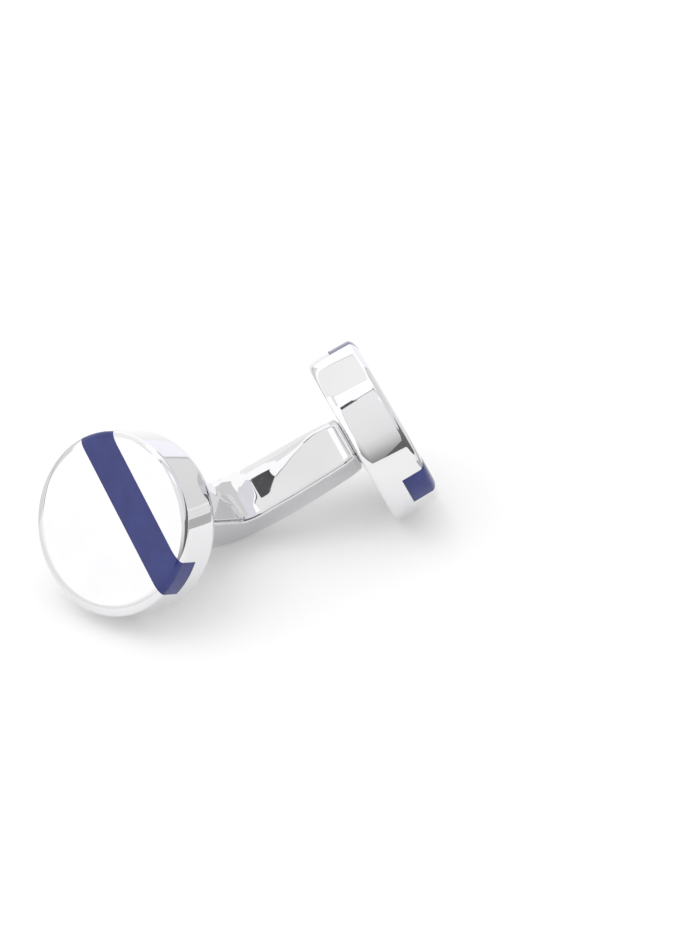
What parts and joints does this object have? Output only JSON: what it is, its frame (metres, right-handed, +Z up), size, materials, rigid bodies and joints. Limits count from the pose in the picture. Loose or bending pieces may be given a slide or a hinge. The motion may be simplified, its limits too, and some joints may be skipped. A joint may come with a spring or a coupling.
{
  "type": "cufflink",
  "caption": "Rigid double-ended cufflink: thick round polished discs with a flush off-centre blue inlay stripe, joined by a bent bar that goes through the cuff's buttonholes.",
  "frame": {"origin": "centre of the footprint on the table that the link lies on, both rims and the elbow of the bar touching it", "axes": "+Z up from the table, +X from the front disc to the rear disc, the hollow side of the bend facing up and towards -Y"},
  "size_m": [0.0376, 0.0164, 0.0162],
  "materials": {
    "disc_metal": "mirror polished bright plating",
    "bar_metal": "mirror polished bright plating",
    "blue_inlay": "polished flush with the metal",
    "cement": "cured clear cement over the dark inlay",
    "solder": "bright silver solder"
  },
  "bodies": {
    "root": {"front_disc": "disc_metal", "front_inlay": "blue_inlay", "front_inlay_cement": "cement", "front_solder_joint": "solder", "link_bar": "bar_metal", "rear_disc": "disc_metal", "rear_inlay": "blue_inlay", "rear_inlay_cement": "cement", "rear_solder_joint": "solder"}
  },
  "joints": []
}
